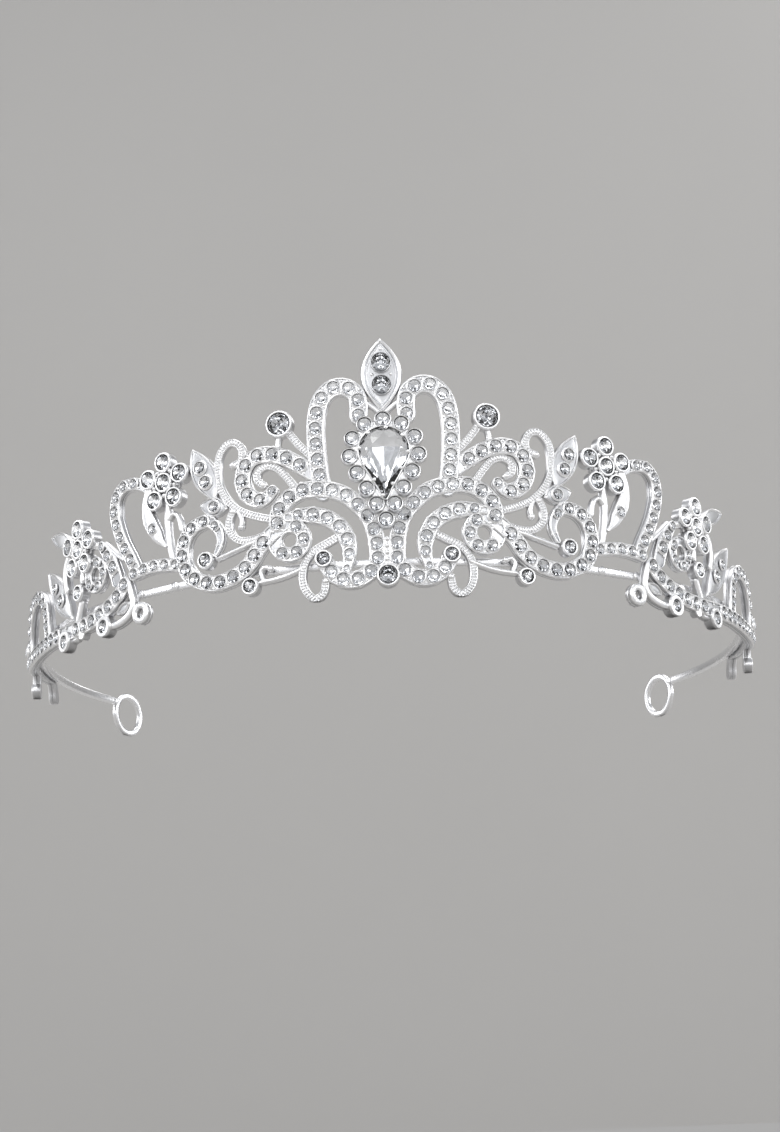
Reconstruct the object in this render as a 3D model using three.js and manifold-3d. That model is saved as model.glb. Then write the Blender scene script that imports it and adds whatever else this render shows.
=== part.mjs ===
// A bridal tiara: silver-plated openwork castings on a thin horseshoe headband, set with clear
// stones, with a ring at each end of the band for hair pins.
//
// Millimetres, +Z up, the front faces -Y. Everything is drawn flat first, in three directions:
// x is the way along the band from the middle of the front, y is up from the drawing's base
// line, and z is out from the castings' back face. bend() then wraps the flat piece round the
// head, so a length along the band stays what it is when the head size changes.
import * as THREE from 'three';
import { mergeVertices } from 'three/addons/utils/BufferGeometryUtils.js';
import Module from 'manifold-3d';

const wasm = await Module();
wasm.setup();

// Headband and plan
const frontRadius = 80; // plan radius of the castings' front face
const bandHalfLength = 170.5; // along the band, from the middle of the front to its end
const bandHeight = 1.6;
const bandThickness = 1.2;
const bandLevel = 5.8; // height of the band's middle line
const bandFacets = 61; // an odd number puts one flat facet in the middle of the front

// Rings at the ends of the band
const endRingOuterRadius = 5.1;
const endRingWire = 1.4;
const endRingSides = 24;
const endRingFlat = 0.15; // cut off the bottom, so that the ring stands on a flat
const endTangLength = 1.6;

// Castings
const castingThickness = 1.8;
const wireThickness = 1.5; // plain and beaded wires are thinner than the stone-set straps
const seatHeight = 2.5; // front of a round stone's seat, above the casting's back
const restLevel = -1.8; // the surface that the tiara stands on
const clearance = 0.3; // between neighbouring pieces

// Widths of the flat straps and wires
const paveWidth = 3.5;
const crownLoopWidth = 3.8;
const swanLoopWidth = 3.1;
const wireWidth = 1.5;
const fineWireWidth = 1.2;

// Stones
const seatWall = 0.35;
const seatFloor = 0.9; // metal left behind a round stone
const stoneRise = 0.5; // how far a round stone stands out of its seat
const girdleDrop = 0.35; // the widest part of a round stone lies this far inside its seat
const girdleHeight = 0.25;
const tableShare = 0.58; // width of a stone's flat top against its full width
const flowerStoneRadius = 1.55;
const petalOverlap = 0.1; // between the flower's centre seat and a petal's seat
const flowerPlateShare = 0.8; // of the way out to the petals' middles
const finialStoneRadius = 1.8;
const ballStoneRadius = 2.25;
const pendantStoneRadius = 1.8;
const smallStoneRadius = 1.25;
const pearWidth = 9.6;
const pearLength = 14.8;
const pearTop = 32.6;
const pearDepth = 3.6;
const pearGirdle = 0.6;
const pearCrownInset = 1.9; // width of the sloping facets round the flat top
const haloStoneRadius = 1.8; // each scallop of the setting round the pear stone
const haloReach = 2; // from the pear stone's edge to the middle of a scallop
const haloScallops = 14;
const settingHeight = 2.2;
const settingFloor = 0.8;

const facetLength = 8; // longest edge left on a flat piece before it is bent
const strapStep = 2; // distance between the points of a strap's outline
const discSides = 12;
const capPoints = 4; // round the end of a strap
const leafSegments = 5; // along each edge of a leaf
const stoneSides = 8;
const cutterReach = 12; // how far a cutting tool runs past the metal

const silver = { color: 0xe4e4e6, metalness: 1.0, roughness: 0.25 };
const crystal = { color: 0xf2f5f8, metalness: 0.0, roughness: 0.05 };

const bandBack = -clearance - bandThickness;
const bandFront = -clearance;

// ---- solids -------------------------------------------------------------------------------

function toManifold(geometry) {
  const bare = geometry.clone();
  bare.deleteAttribute('normal');
  bare.deleteAttribute('uv');
  const merged = mergeVertices(bare, 1e-4);
  return new wasm.Manifold(new wasm.Mesh({
    numProp: 3,
    vertProperties: new Float32Array(merged.attributes.position.array),
    triVerts: new Uint32Array(merged.index.array),
  }));
}

function joinAll(solids) {
  return solids.reduce((whole, solid) => whole.add(solid));
}

function extrudeFlat(shape, back, front) {
  const geometry = new THREE.ExtrudeGeometry(shape, {
    depth: front - back,
    bevelEnabled: false,
    curveSegments: leafSegments,
  });
  geometry.translate(0, 0, back);
  return toManifold(geometry);
}

// Wraps a flat solid round the head and gives it back as a three.js geometry.
function bend(solid) {
  const mesh = solid.refineToLength(facetLength).getMesh();
  const source = mesh.vertProperties;
  const stride = mesh.numProp;
  const positions = new Float32Array(mesh.numVert * 3);
  for (let i = 0; i < mesh.numVert; i += 1) {
    const angle = source[i * stride] / frontRadius;
    const radius = frontRadius - castingThickness + source[i * stride + 2];
    positions[i * 3] = radius * Math.sin(angle);
    positions[i * 3 + 1] = -radius * Math.cos(angle);
    positions[i * 3 + 2] = source[i * stride + 1];
  }
  const geometry = new THREE.BufferGeometry();
  geometry.setAttribute('position', new THREE.BufferAttribute(positions, 3));
  geometry.setIndex(new THREE.BufferAttribute(new Uint32Array(mesh.triVerts), 1));
  geometry.computeVertexNormals();
  return geometry;
}

// ---- flat outlines --------------------------------------------------------------------------

function circlePoints(centre, radius, sides, fromAngle = 0, turn = 2 * Math.PI) {
  const points = [];
  for (let i = 0; i < sides; i += 1) {
    const angle = fromAngle + (turn * i) / sides;
    points.push(new THREE.Vector2(
      centre.x + radius * Math.cos(angle),
      centre.y + radius * Math.sin(angle),
    ));
  }
  return points;
}

function discShape([x, y], radius, sides = discSides) {
  return new THREE.Shape(circlePoints(new THREE.Vector2(x, y), radius, sides));
}

// A strap follows a smooth line. Its width runs evenly through the listed values.
function strapShape(line, widths, grow) {
  const curve = new THREE.SplineCurve(line.map(([x, y]) => new THREE.Vector2(x, y)));
  const steps = Math.max(2, Math.round(curve.getLength() / strapStep));
  const leftSide = [];
  const rightSide = [];
  for (let i = 0; i <= steps; i += 1) {
    const along = i / steps;
    const point = curve.getPointAt(along);
    const tangent = curve.getTangentAt(along);
    const place = along * (widths.length - 1);
    const index = Math.min(Math.floor(place), widths.length - 2);
    const width = widths.length === 1
      ? widths[0]
      : THREE.MathUtils.lerp(widths[index], widths[index + 1], place - index);
    const half = width / 2 + grow;
    const normal = new THREE.Vector2(-tangent.y, tangent.x).multiplyScalar(half);
    leftSide.push(point.clone().add(normal));
    rightSide.push(point.clone().sub(normal));
    if (i === 0 || i === steps) {
      const heading = Math.atan2(tangent.y, tangent.x);
      const start = i === 0 ? heading + Math.PI / 2 : heading - Math.PI / 2;
      const cap = circlePoints(point, half, capPoints, start, Math.PI).slice(1);
      if (i === 0) {
        rightSide.unshift(...cap);
      } else {
        rightSide.push(...cap);
      }
    }
  }
  return new THREE.Shape([...rightSide, ...leftSide.reverse()]);
}

// A pointed leaf between two tips.
function leafShape(base, tip, halfWidth, grow) {
  const from = new THREE.Vector2(...base);
  const to = new THREE.Vector2(...tip);
  const direction = to.clone().sub(from).normalize();
  from.addScaledVector(direction, -grow);
  to.addScaledVector(direction, grow);
  const side = new THREE.Vector2(-direction.y, direction.x).multiplyScalar(2 * (halfWidth + grow));
  const middle = from.clone().lerp(to, 0.5);
  const shape = new THREE.Shape();
  shape.moveTo(from.x, from.y);
  shape.quadraticCurveTo(middle.x - side.x, middle.y - side.y, to.x, to.y);
  shape.quadraticCurveTo(middle.x + side.x, middle.y + side.y, from.x, from.y);
  return shape;
}

// The pear stone's outline, point down: a round top and two straight flanks that touch it.
function pearShape(grow) {
  const roundRadius = pearWidth / 2;
  const centre = new THREE.Vector2(0, pearTop - roundRadius);
  const toTip = pearLength - roundRadius;
  const touch = Math.asin(roundRadius / toTip);
  const arcPoints = 19;
  const turn = ((Math.PI + 2 * touch) * arcPoints) / (arcPoints - 1);
  const arc = circlePoints(centre, roundRadius + grow, arcPoints, -touch, turn);
  const tipReach = (roundRadius + grow) / Math.sin(touch);
  return new THREE.Shape([new THREE.Vector2(0, centre.y - tipReach), ...arc]);
}

// ---- parts of a casting ----------------------------------------------------------------------
// Each part is a function of the side (1 right, -1 left) and of how far it is grown. A grown
// casting is the tool that cuts its neighbour back, so the two always keep their clearance.

const onSide = (side, [x, y]) => [side * x, y];

function strap(line, widths, front = castingThickness) {
  return {
    front,
    shape: (side, grow) => strapShape(line.map((point) => onSide(side, point)), widths, grow),
  };
}

function wire(line, width = wireWidth) {
  return strap(line, [width], wireThickness);
}

function disc(centre, radius, front = castingThickness) {
  return { front, shape: (side, grow) => discShape(onSide(side, centre), radius + grow) };
}

function ring(centre, outerRadius, innerRadius) {
  return {
    front: castingThickness,
    shape: (side, grow) => {
      const shape = discShape(onSide(side, centre), outerRadius + grow);
      shape.holes.push(discShape(onSide(side, centre), innerRadius - grow));
      return shape;
    },
  };
}

function leaf(base, tip, halfWidth) {
  return {
    front: castingThickness,
    shape: (side, grow) => leafShape(onSide(side, base), onSide(side, tip), halfWidth, grow),
  };
}

const seatRadius = (stoneRadius) => stoneRadius + clearance + seatWall;
const flowerPetalReach = 2 * seatRadius(flowerStoneRadius) - petalOverlap;

function seat(stone) {
  return disc(stone.centre, seatRadius(stone.radius), seatHeight);
}

function seatPocket(stone, side) {
  const shape = discShape(onSide(side, stone.centre), stone.radius + clearance);
  return extrudeFlat(shape, seatFloor, seatHeight + cutterReach);
}

// The flat solid of a casting: its parts joined, its stone pockets cut, its feet cut flat.
function castingSolid(parts, sides) {
  const solids = [];
  for (const side of sides) {
    for (const part of parts) {
      solids.push(extrudeFlat(part.shape(side, 0), 0, part.front));
    }
  }
  return joinAll(solids);
}

function pocketTool(stones, sides) {
  const pockets = [];
  for (const side of sides) {
    for (const stone of stones) {
      pockets.push(seatPocket(stone, side));
    }
  }
  return joinAll(pockets);
}

function clearanceTool(parts, side) {
  const solids = parts.map((part) => (
    extrudeFlat(part.shape(side, clearance), -cutterReach, cutterReach)
  ));
  return joinAll(solids);
}

// Everything below the surface that the tiara stands on.
function floorTool() {
  const length = 4 * bandHalfLength;
  const geometry = new THREE.BoxGeometry(length, cutterReach, 4 * cutterReach);
  geometry.translate(0, restLevel - cutterReach / 2, 0);
  return toManifold(geometry);
}

// ---- the drawing: centre casting --------------------------------------------------------------

const finialStones = [
  { name: 'finial_stone_lower', centre: [0, 42.4], radius: finialStoneRadius },
  { name: 'finial_stone_upper', centre: [0, 47.2], radius: finialStoneRadius },
];
const pendantStone = { name: 'pendant_stone', centre: [0, 2.6], radius: pendantStoneRadius };
const centreMiddleStones = [...finialStones, pendantStone];

const centreSideStones = [
  { name: 'ball_stone', centre: [21.3, 35.7], radius: ballStoneRadius },
  { name: 'border_stone', centre: [12.9, 6.7], radius: smallStoneRadius },
  { name: 'foot_stone', centre: [28.4, 2.5], radius: smallStoneRadius },
  { name: 'ring_stone', centre: [38.3, 9.3], radius: smallStoneRadius },
];

const centreMiddleParts = [
  leaf([0, 36.9], [0, 52.5], 4.3), // pointed finial
  strap([[0, 3], [0, 6], [0, 9]], [3]), // foot of the two columns
  ...centreMiddleStones.map(seat),
];

const centreSideParts = [
  // column that opens into the arch over the inner scroll
  strap([[1.9, 2.8], [1.9, 6.7], [2.1, 9.8], [2.7, 12.8], [3.9, 15.5], [5.9, 17.8], [8.4, 19.9],
    [11.3, 21], [14.5, 21.4], [17.4, 21.2], [20.2, 19.7], [22.1, 17.3], [22.3, 15]], [paveWidth]),
  // diagonal, bottom sweep and the ring scroll at the casting's end
  strap([[20.6, 15.2], [22.3, 14], [24.5, 12.2], [26.6, 10], [28.4, 7.5], [30.7, 5.7],
    [33.6, 4.6], [36.8, 4.3], [39.8, 5.2], [42.4, 6.9], [43.8, 9.7], [43.9, 12.7],
    [42.8, 15.4], [40.5, 17.2], [37.4, 17.4], [35.4, 15.3], [34.9, 12.9], [35.9, 10.6]],
  [paveWidth, paveWidth, paveWidth, paveWidth, 2.6, 1.2]),
  // tall loop beside the pear stone
  strap([[12.7, 20.8], [13.2, 24.4], [13.6, 28], [13.8, 31.4], [13.8, 34.5], [13.4, 37.5],
    [12.4, 40.3], [10.2, 42.3], [7.4, 42.4], [5.3, 40.7], [4.8, 38.4], [4.9, 36.2]],
  [crownLoopWidth]),
  // crossed bars under the finial
  strap([[4, 39.6], [2, 38], [0, 36.2]], [fineWireWidth]),
  // inner scroll under the arch
  strap([[21, 15.9], [18.5, 16.3], [15.8, 16.2], [12.7, 15.5], [9.9, 13.7], [8.2, 11.1],
    [7.6, 8], [8.3, 4.4]], [1.6, paveWidth, paveWidth, paveWidth, 1.8]),
  ring([19.9, 11.3], 4.6, 1.5),
  // bottom border that curls up beside the pendant stone
  strap([[0.6, 3.2], [3.2, 3.7], [6.1, 2.1], [9, 2.2], [11.4, 3.9], [12.9, 6.7]], [paveWidth]),
  // stone-set C scroll that leans on the loop
  strap([[14.6, 24.9], [16.5, 26.2], [18.9, 27.8], [21.9, 29.3], [25, 29.8], [27.7, 29.1],
    [29.3, 26.9], [29.6, 23.9], [28.1, 21.3], [25.3, 20.3], [23.2, 21.9]],
  [paveWidth, paveWidth, paveWidth, paveWidth, paveWidth, 1.4]),
  // stems of the ball stone
  wire([[21.6, 33.4], [21.9, 32], [22, 30.5]], fineWireWidth),
  wire([[19.4, 33.6], [17.4, 31], [15, 28.5]]),
  // beaded inner curl of the C scroll
  wire([[18.1, 21.6], [20.1, 24.4], [22.1, 26.6], [24.4, 27.4], [26.3, 26.4], [26.5, 24.6],
    [25.3, 23.5]]),
  // beaded hook that rises to the leaf
  wire([[22.6, 15.9], [26.5, 17], [30.2, 18.6], [33.2, 21.2], [35.1, 24.6], [35.5, 28.2],
    [34.8, 31.4], [32.9, 33.3], [30.9, 33], [29.8, 31.3], [30.1, 29.3], [31.9, 28.5]]),
  // small hook and plain bar below it
  wire([[24.8, 13.2], [27.8, 12.4], [30.8, 12.6], [32.8, 14.4], [33.1, 16.7], [32.2, 18.8]]),
  wire([[30.8, 18.4], [30.2, 16.8], [30.4, 15.3]], fineWireWidth),
  wire([[25.5, 12.5], [30.6, 11], [35.9, 9.5]], fineWireWidth),
  leaf([35.8, 21.4], [41.3, 33.5], 2.8),
  leaf([33.2, 19.6], [39.8, 21.2], 2.2),
  // beaded bar that curls down to the front foot
  wire([[9.2, 11.5], [12.3, 10], [15, 8.6], [16.9, 6.2], [17.5, 3.2], [16.9, 0.5], [15, -1.3],
    [13.2, -0.2], [12.7, 2.2]]),
  // low wire and its hook
  wire([[17, 5.4], [20, 4.3], [23, 3.6], [26, 3.5], [27.6, 3.2]], fineWireWidth),
  wire([[25.8, 3.7], [26.4, 5.2], [25.6, 6.4], [24.3, 5.9]], fineWireWidth),
  ...centreSideStones.map(seat),
];

// ---- the drawing: shoulder casting with the first flower and the swan loop --------------------

function flowerStones(name, centre, turnDegrees) {
  const stones = [{ name: `${name}_centre_stone`, centre, radius: flowerStoneRadius }];
  for (let i = 0; i < 5; i += 1) {
    const angle = THREE.MathUtils.degToRad(turnDegrees + 72 * i);
    stones.push({
      name: `${name}_petal_stone_${i + 1}`,
      centre: [
        centre[0] + flowerPetalReach * Math.cos(angle),
        centre[1] + flowerPetalReach * Math.sin(angle),
      ],
      radius: flowerStoneRadius,
    });
  }
  return stones;
}

// The thin plate behind a flower that joins its petals.
function flowerPlate(stones) {
  return disc(stones[0].centre, flowerPetalReach * flowerPlateShare, wireThickness);
}

const firstFlowerStones = flowerStones('flower_one', [48.2, 27.5], 90);

const shoulderParts = [
  // bar that reaches from the ring scroll to the foot of the swan loop
  strap([[44.5, 9.4], [47.5, 10], [51, 10.4], [54.5, 10.3], [57.2, 9.9]], [2.8]),
  strap([[51.6, 26], [53.4, 27.7], [56.6, 29], [60, 29], [62.2, 27], [62.7, 23.6], [61.7, 20],
    [60.1, 16.5], [58.1, 13.2], [56.6, 10.4]], [2.4, swanLoopWidth, swanLoopWidth]),
  // teardrop leaf inside the loop
  strap([[52.6, 26.4], [53.4, 23.4], [52.7, 20.4], [51.1, 17.6], [49.9, 15.6], [48.4, 14.2]],
    [2, 2.2, 3.4, 2.8, 0.8]),
  // two strands of the flower's stem
  wire([[47.9, 22.4], [48.1, 18.5], [47.7, 14.8], [46.7, 11]]),
  wire([[47.3, 21], [45.6, 19.7], [43.2, 18.2]], fineWireWidth),
  flowerPlate(firstFlowerStones),
  ...firstFlowerStones.map(seat),
];

// ---- the drawing: tail casting that runs back along the band ----------------------------------

const secondFlowerStones = flowerStones('flower_two', [75.4, 19], 90);
const tailStones = [
  ...secondFlowerStones,
  { name: 'drop_stone_front', centre: [66.4, 0.4], radius: smallStoneRadius },
  { name: 'drop_stone_back', centre: [82, 0.4], radius: smallStoneRadius },
  { name: 'stalk_stone', centre: [75.6, 9.6], radius: smallStoneRadius },
  { name: 'tail_stone', centre: [121.5, 7.2], radius: smallStoneRadius },
];

const tailParts = [
  // stone-set strap along the bottom, thinning out to the casting's end
  strap([[59, 9.1], [61.6, 6.6], [65, 4.6], [69, 3.1], [73, 2.4], [78, 2.2], [83, 2.4],
    [88, 2.6], [95, 2.6], [103, 2.6], [111, 3], [119, 3.8], [127, 4.5], [135, 5.1], [143, 5.6]],
  [paveWidth, paveWidth, paveWidth, paveWidth, paveWidth, 2.6, 2]),
  wire([[59.6, 12.6], [62.8, 15.3], [66.4, 18.2]], fineWireWidth),
  // upright leaf and the ring beside it
  strap([[61.8, 7.2], [62.8, 11], [64.6, 14.4], [67.2, 17.8]], [3.6, 3.6, 2.2]),
  ring([69.6, 12.2], 3.9, 1.6),
  wire([[66.6, 17.6], [69.6, 18.6], [72, 19]]),
  // stalk from the flower down to the bottom strap
  strap([[75.4, 15.4], [75.3, 12], [75.8, 8.4], [77, 5.2], [78.2, 2.6]], [1.8]),
  strap([[79.2, 19.6], [81.6, 17.2], [82.3, 14.4], [81.6, 11.6]], [2]),
  leaf([78.6, 21], [89.4, 25], 1.8),
  leaf([79, 4.6], [91.5, 17.8], 3),
  // low loop behind the second leaf
  strap([[92.5, 3.4], [92.8, 7.2], [94, 11], [97, 13.5], [101.6, 14.4], [106.4, 13.2],
    [109.5, 10.3], [110.6, 6.8], [110.2, 3.4]], [swanLoopWidth]),
  wire([[113.2, 3.4], [116, 6], [119, 8.2], [121.5, 7.2]]),
  wire([[121.5, 7.2], [123.4, 5.6], [124.4, 4.2]]),
  strap([[143, 5.6], [144.2, 3.6], [144.6, 1.6]], [2, 2.4]), // rounded end post
  // hanging curl and the three drops
  strap([[58.6, 8.6], [57.9, 5.8], [57.8, 3.2], [59.6, 1.2], [62.6, 0.2], [65, 0.2]], [1.5]),
  ring([55.6, 1.3], 2.4, 0.9),
  leaf([58.4, 4.2], [62.8, 2.2], 1.2),
  wire([[76.2, 2], [77.6, 0.4], [80.4, 0.2]]),
  disc([75.2, 0.6], 1.1),
  disc([66.4, 0.4], 2.3),
  disc([82, 0.4], 2.3),
  strap([[127.8, 4.4], [128.2, 2.4], [128.2, 0]], [1.8]),
  disc([128.2, -0.1], 1.8),
  flowerPlate(secondFlowerStones),
  ...tailStones.map(seat),
];

// ---- stones -------------------------------------------------------------------------------

function roundStone(stone, side) {
  const bottom = seatFloor + clearance;
  const top = seatHeight + stoneRise;
  const girdle = seatHeight - girdleDrop;
  const tableRadius = stone.radius * tableShare;
  const profile = [
    new THREE.Vector2(0, bottom),
    new THREE.Vector2(tableRadius, bottom),
    new THREE.Vector2(stone.radius, girdle),
    new THREE.Vector2(stone.radius, girdle + girdleHeight),
    new THREE.Vector2(tableRadius, top),
    new THREE.Vector2(0, top),
  ];
  const geometry = new THREE.LatheGeometry(profile, stoneSides);
  geometry.rotateX(Math.PI / 2);
  const [x, y] = onSide(side, stone.centre);
  geometry.translate(x, y, 0);
  return bend(toManifold(geometry));
}

const settingBack = castingThickness + clearance;

// Scalloped setting that holds the pear stone in front of the centre casting.
function pearSetting() {
  const outline = pearShape(haloReach).closePath().getSpacedPoints(haloScallops);
  const solids = [extrudeFlat(pearShape(haloReach), settingBack, settingBack + settingHeight)];
  for (const point of outline.slice(1)) {
    const scallop = discShape([point.x, point.y], haloStoneRadius);
    solids.push(extrudeFlat(scallop, settingBack, settingBack + settingHeight));
  }
  const pocket = extrudeFlat(pearShape(clearance), settingBack + settingFloor, cutterReach);
  return bend(joinAll(solids).subtract(pocket));
}

function pearStone() {
  const crownDepth = (pearDepth - pearGirdle) / 2;
  const geometry = new THREE.ExtrudeGeometry(pearShape(0), {
    depth: pearGirdle,
    bevelEnabled: true,
    bevelThickness: crownDepth,
    bevelSize: pearCrownInset,
    bevelOffset: -pearCrownInset,
    bevelSegments: 1,
  });
  geometry.translate(0, 0, settingBack + settingFloor + clearance + crownDepth);
  return bend(toManifold(geometry));
}

// ---- band and end rings ------------------------------------------------------------------------

function headband() {
  const geometry = new THREE.BoxGeometry(
    2 * bandHalfLength, bandHeight, bandThickness, bandFacets, 1, 1,
  );
  geometry.translate(0, bandLevel, (bandFront + bandBack) / 2);
  return bend(toManifold(geometry));
}

function endRing(side) {
  const centre = [
    bandHalfLength + clearance + endTangLength + endRingOuterRadius - endRingWire,
    restLevel + endRingOuterRadius - endRingFlat,
  ];
  const innerRadius = endRingOuterRadius - endRingWire;
  const hoop = discShape(onSide(side, centre), endRingOuterRadius, endRingSides);
  hoop.holes.push(discShape(onSide(side, centre), innerRadius, endRingSides));
  const tangStart = bandHalfLength + clearance;
  const tangEnd = tangStart + endTangLength + endRingWire / 2;
  const tang = new THREE.Shape([
    [tangStart, bandLevel - bandHeight / 2],
    [tangEnd, bandLevel - bandHeight / 2],
    [tangEnd, bandLevel + bandHeight / 2],
    [tangStart, bandLevel + bandHeight / 2],
  ].map((point) => new THREE.Vector2(...onSide(side, point))));
  const solid = extrudeFlat(hoop, bandBack, bandFront).add(extrudeFlat(tang, bandBack, bandFront));
  return bend(solid.subtract(floorTool()));
}

// ---- assembly --------------------------------------------------------------------------------

const assembly = new THREE.Group();

function place(name, geometry, look) {
  const mesh = new THREE.Mesh(geometry, new THREE.MeshStandardMaterial(look));
  mesh.name = name;
  assembly.add(mesh);
}

const bothSides = [1, -1];
const sideName = (side) => (side > 0 ? 'right' : 'left');

place('headband', headband(), silver);

const centreSolid = castingSolid(centreMiddleParts, [1])
  .add(castingSolid(centreSideParts, bothSides))
  .subtract(pocketTool(centreMiddleStones, [1]))
  .subtract(pocketTool(centreSideStones, bothSides))
  .subtract(floorTool());
place('centre_casting', bend(centreSolid), silver);
place('pear_setting', pearSetting(), silver);
place('pear_stone', pearStone(), crystal);
for (const stone of centreMiddleStones) {
  place(stone.name, roundStone(stone, 1), crystal);
}

for (const side of bothSides) {
  const end = sideName(side);
  place(`end_ring_${end}`, endRing(side), silver);

  const shoulder = castingSolid(shoulderParts, [side])
    .subtract(pocketTool(firstFlowerStones, [side]))
    .subtract(clearanceTool(centreSideParts, side));
  place(`shoulder_casting_${end}`, bend(shoulder), silver);

  const tail = castingSolid(tailParts, [side])
    .subtract(pocketTool(tailStones, [side]))
    .subtract(clearanceTool(shoulderParts, side))
    .subtract(floorTool());
  place(`tail_casting_${end}`, bend(tail), silver);

  for (const stone of [...centreSideStones, ...firstFlowerStones, ...tailStones]) {
    place(`${stone.name}_${end}`, roundStone(stone, side), crystal);
  }
}

// The origin is the middle of the footprint, on the surface that the tiara stands on.
const box = new THREE.Box3().setFromObject(assembly);
const middle = box.getCenter(new THREE.Vector3());
assembly.position.set(-middle.x, -middle.y, -box.min.z);

const tiara = new THREE.Group();
tiara.add(assembly);
tiara.updateMatrixWorld(true);

export default tiara;
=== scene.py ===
import math
from bisect import bisect_right

import bmesh
import bpy
from mathutils import Matrix, Vector
from mathutils.geometry import interpolate_bezier


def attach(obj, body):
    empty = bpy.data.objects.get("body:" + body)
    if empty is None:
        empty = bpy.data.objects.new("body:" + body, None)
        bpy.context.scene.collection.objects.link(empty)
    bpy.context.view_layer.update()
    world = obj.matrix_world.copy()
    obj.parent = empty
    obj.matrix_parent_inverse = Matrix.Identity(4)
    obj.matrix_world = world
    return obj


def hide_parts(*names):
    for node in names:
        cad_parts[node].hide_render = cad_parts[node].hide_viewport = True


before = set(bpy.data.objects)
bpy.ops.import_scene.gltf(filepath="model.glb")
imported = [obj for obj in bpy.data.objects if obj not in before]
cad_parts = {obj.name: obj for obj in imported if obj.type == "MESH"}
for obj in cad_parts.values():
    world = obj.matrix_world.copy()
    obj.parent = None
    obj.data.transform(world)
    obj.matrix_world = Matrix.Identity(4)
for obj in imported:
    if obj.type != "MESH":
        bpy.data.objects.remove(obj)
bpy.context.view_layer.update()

# A bridal tiara. Each casting is drawn flat in millimetres: x runs along the band from the
# middle of the front, y is up from the drawing's base line, z is out from the castings' back.
# makePiece() wraps the flat mesh round the head and turns it into metres.

studio = {
    "lens": 111.3,
    "cameraPlace": (0.0004, -0.7401, -0.1690),
    "lookUp": 14.5,
    "roll": -2.1,
    "paper": (0.52, 0.51, 0.495),
    "paperSize": 2.0,
    "world": (0.5, 0.51, 0.53),
    "middle": (0, -0.03, 0.02),
    # tall softboxes in a fan round the front: degrees, metres, watts
    "fan": (-112, -76, -42, -14, 18, 40, 74, 108),
    "fanReach": 1.15, "fanHeight": 0.4, "fanBox": (0.2, 0.55), "fanPower": 1.25,
    # the other softboxes: place, width and height, power
    "boxes": {
        "keyBox": ((-0.5, -0.7, 0.85), (0.35, 0.35), 1.9),
        "topBox": ((0.0, 0.2, 1.1), (0.9, 0.9), 4.2),
        "rearBox": ((0.5, 1.0, 0.7), (0.5, 0.4), 1.6),
    },
}

plan = {
    "arcRadius": 80.0,   # flat lengths are true on this radius
    "backRadius": 78.2,  # the castings' back
    "centreY": 17.5808,
    "baseLevel": 1.8,    # the drawing's base line above the floor
    "restLevel": -1.8,
}


def makeCamera():
    data = bpy.data.cameras.new("studioCamera")
    data.lens = studio["lens"]
    camera = bpy.data.objects.new("studioCamera", data)
    camera.matrix_world = (
        Matrix.Translation(studio["cameraPlace"])
        @ Matrix.Rotation(math.radians(90 + studio["lookUp"]), 4, "X")
        @ Matrix.Rotation(math.radians(studio["roll"]), 4, "Z")
    )
    bpy.context.collection.objects.link(camera)
    bpy.context.scene.camera = camera


def makeSoftbox(name, place, size, power):
    data = bpy.data.lights.new(name, "AREA")
    data.shape = "RECTANGLE"
    data.size, data.size_y = size
    data.energy = power
    light = bpy.data.objects.new(name, data)
    light.location = place
    aim = Vector(studio["middle"]) - Vector(place)
    light.rotation_euler = aim.to_track_quat("-Z", "Y").to_euler()
    bpy.context.collection.objects.link(light)


makeCamera()
print("camera ready")


class Signal:
    # wraps one socket, so that plain arithmetic makes Math nodes
    def __init__(self, look, socket):
        self.look = look
        self.socket = socket

    def maths(self, operation, *values):
        return self.look.node("ShaderNodeMath", {"operation": operation}, dict(enumerate(values)))

    def __add__(self, other):
        return self.maths("ADD", self, other)

    def __radd__(self, other):
        return self.maths("ADD", other, self)

    def __sub__(self, other):
        return self.maths("SUBTRACT", self, other)

    def __rsub__(self, other):
        return self.maths("SUBTRACT", other, self)

    def __mul__(self, other):
        return self.maths("MULTIPLY", self, other)

    def __rmul__(self, other):
        return self.maths("MULTIPLY", other, self)


class Look:
    def __init__(self, name):
        self.material = bpy.data.materials.new(name)
        self.material.use_nodes = True
        self.tree = self.material.node_tree
        self.tree.nodes.clear()

    def node(self, kind, settings=None, sockets=None, out=0):
        made = self.tree.nodes.new(kind)
        for key, value in (settings or {}).items():
            setattr(made, key, value)
        for key, value in (sockets or {}).items():
            if isinstance(value, Signal):
                self.tree.links.new(value.socket, made.inputs[key])
            else:
                made.inputs[key].default_value = value
        return Signal(self, made.outputs[out]) if made.outputs else None

    def mix(self, factor, a, b):
        return self.node("ShaderNodeMix", {"data_type": "RGBA"}, {0: factor, 6: a, 7: b}, out=2)

    def noise(self, scale, detail=3.0):
        place = self.node("ShaderNodeTexCoord", out="Object")
        return self.node("ShaderNodeTexNoise", {}, {
            "Vector": place, "Scale": scale, "Detail": detail,
        })

    def finish(self, shader):
        self.node("ShaderNodeOutputMaterial", {}, {"Surface": shader})
        return self.material


def silverLook(name, bright, darkTone, roughness, bumpHeight):
    look = Look(name)
    # painted shade: hollows and creases (low pointiness) get the dark tone, while the bright tone
    # on sharp edges stands for polished wear
    creviceShadeAndWear = look.node("ShaderNodeMapRange", {}, {
        "Value": look.node("ShaderNodeNewGeometry", out="Pointiness"),
        "From Min": 0.42, "From Max": 0.53,
    })
    cloud = look.noise(240.0)
    bump = look.node("ShaderNodeBump", {}, {
        "Strength": 0.5, "Distance": bumpHeight, "Height": look.noise(1500.0, 5.0),
    })
    return look.finish(look.node("ShaderNodeBsdfPrincipled", {}, {
        "Base Color": look.mix(creviceShadeAndWear, darkTone, bright),
        "Metallic": 1.0,
        "Roughness": roughness + (cloud - 0.5) * 0.16,
        "Normal": bump,
    }))


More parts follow.
